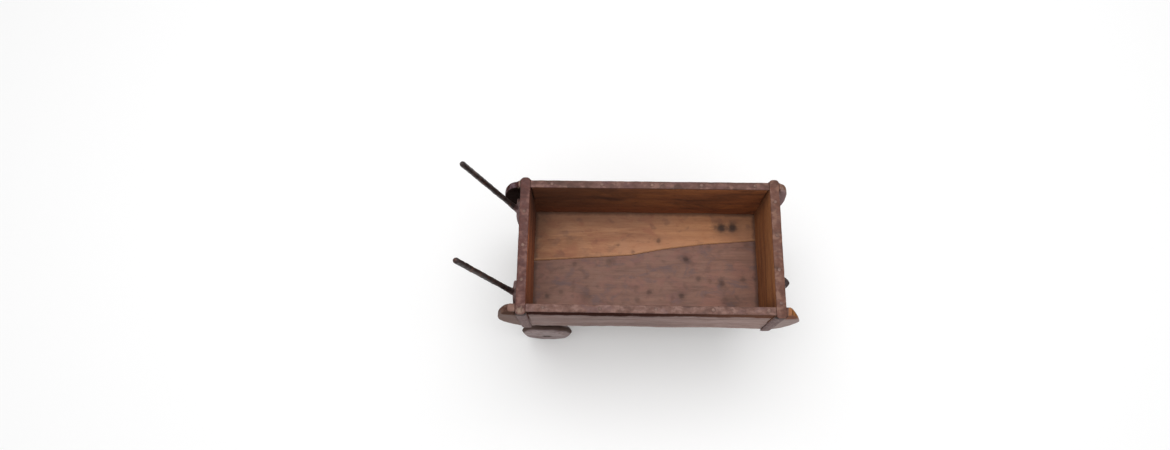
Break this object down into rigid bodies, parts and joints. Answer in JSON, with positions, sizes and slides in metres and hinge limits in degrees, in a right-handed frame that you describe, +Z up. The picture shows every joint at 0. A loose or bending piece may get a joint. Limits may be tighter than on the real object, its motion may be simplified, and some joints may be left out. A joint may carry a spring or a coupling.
{
  "type": "wooden wheelbarrow",
  "caption": "Small barrow made from an old wooden brick mould: open box with rounded ears and iron-bound rim, wooden disc wheels under both ends, sloping iron rod handles.",
  "frame": {"origin": "on the ground, under the middle of the whole barrow (centre of the bounding box's footprint)", "axes": "+X forward, towards the single front wheel; +Y to the barrow's left; +Z up"},
  "size_m": [0.3979, 0.1616, 0.3273],
  "materials": {
    "weathered_wood": "grey weathered bare wood, worn edges",
    "dark_wood": "dark oiled and soiled bare wood",
    "floor_gold": "worn golden-brown bare wood with knots",
    "floor_mauve": "worn mauve-brown bare wood with dark spots",
    "wheel_wood": "grey weathered turned wood",
    "rusted_strip": "red-brown rusted wrought iron strip, rubbed smooth",
    "dark_iron": "dark brown-black rusted iron"
  },
  "bodies": {
    "tray": {"right_side_board": "weathered_wood", "left_side_board": "weathered_wood", "front_end_board": "dark_wood", "rear_end_board": "dark_wood", "right_floor_board": "floor_mauve", "left_floor_board": "floor_gold", "rear_batten": "dark_wood", "front_batten": "dark_wood", "front_rim_strip": "rusted_strip", "rear_rim_strip": "rusted_strip", "right_rim_strip": "rusted_strip", "left_rim_strip": "rusted_strip", "front_rim_nail_1": "dark_iron", "front_rim_nail_2": "dark_iron", "front_rim_nail_3": "dark_iron", "front_rim_nail_4": "dark_iron", "rear_rim_nail_1": "dark_iron", "rear_rim_nail_2": "dark_iron", "rear_rim_nail_3": "dark_iron", "right_rim_nail_1": "dark_iron", "right_rim_nail_2": "dark_iron", "right_rim_nail_3": "dark_iron", "right_rim_nail_4": "dark_iron", "right_rim_nail_5": "dark_iron", "left_rim_nail_1": "dark_iron", "left_rim_nail_2": "dark_iron", "left_rim_nail_3": "dark_iron", "left_rim_nail_4": "dark_iron", "left_rim_nail_5": "dark_iron", "rear_washer_right": "dark_iron", "front_washer_right": "dark_iron", "rear_axle_hanger_right": "dark_iron", "front_fork_right": "dark_iron", "handle_right": "dark_iron", "rear_washer_left": "dark_iron", "front_washer_left": "dark_iron", "rear_axle_hanger_left": "dark_iron", "front_fork_left": "dark_iron", "handle_left": "dark_iron", "rear_hanger_screw_right_1": "dark_iron", "rear_hanger_screw_right_2": "dark_iron", "rear_hanger_screw_left_1": "dark_iron", "rear_hanger_screw_left_2": "dark_iron", "front_fork_screw_right_1": "dark_iron", "front_fork_screw_right_2": "dark_iron", "front_fork_screw_left_1": "dark_iron", "front_fork_screw_left_2": "dark_iron", "handle_screw_right_1": "dark_iron", "handle_screw_right_2": "dark_iron", "handle_screw_left_1": "dark_iron", "handle_screw_left_2": "dark_iron", "rear_axle": "dark_iron", "front_axle_bolt": "dark_iron", "front_axle_nut": "dark_iron"},
    "rear_right_wheel": {"rear_wheel_right": "wheel_wood"},
    "rear_left_wheel": {"rear_wheel_left": "wheel_wood"},
    "front_centre_wheel": {"front_wheel": "wheel_wood"}
  },
  "joints": [
    {"name": "rear_right_wheel_spin", "type": "hinge", "parent": "tray", "child": "rear_right_wheel", "pos_m": [-0.125, -0.07075, 0.0333], "axis": [0, 1, 0], "continuous": true},
    {"name": "rear_left_wheel_spin", "type": "hinge", "parent": "tray", "child": "rear_left_wheel", "pos_m": [-0.125, 0.07075, 0.0333], "axis": [0, 1, 0], "continuous": true},
    {"name": "front_wheel_spin", "type": "hinge", "parent": "tray", "child": "front_centre_wheel", "pos_m": [0.1657, -0.0025, 0.0333], "axis": [0, 1, 0], "continuous": true}
  ]
}
